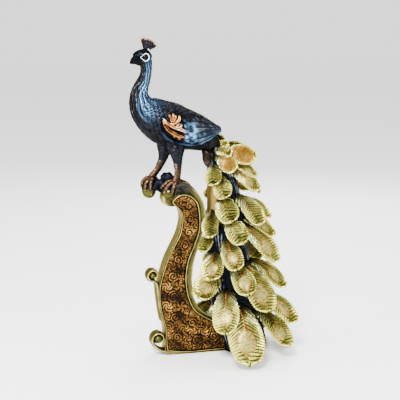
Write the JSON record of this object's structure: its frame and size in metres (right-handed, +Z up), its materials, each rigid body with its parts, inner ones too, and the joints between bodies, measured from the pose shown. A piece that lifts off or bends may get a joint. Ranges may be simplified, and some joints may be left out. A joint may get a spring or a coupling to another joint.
{
  "type": "peacock figurine",
  "caption": "Cast peacock standing on a carved scroll stand, its long layered train of cupped feathers sweeping down to the floor.",
  "frame": {"origin": "centre of the figure's outer box, on the floor it stands on", "axes": "+Z up, the beak points to -X and the train trails to +X, +Y across the thickness of the stand"},
  "size_m": [0.1865, 0.1738, 0.3605],
  "materials": {
    "painted_resin": "cast resin painted dark blue on the bird and antique gold on the train and stand, with copper carving"
  },
  "bodies": {
    "root": {"peacock_figurine": "painted_resin"}
  },
  "joints": []
}
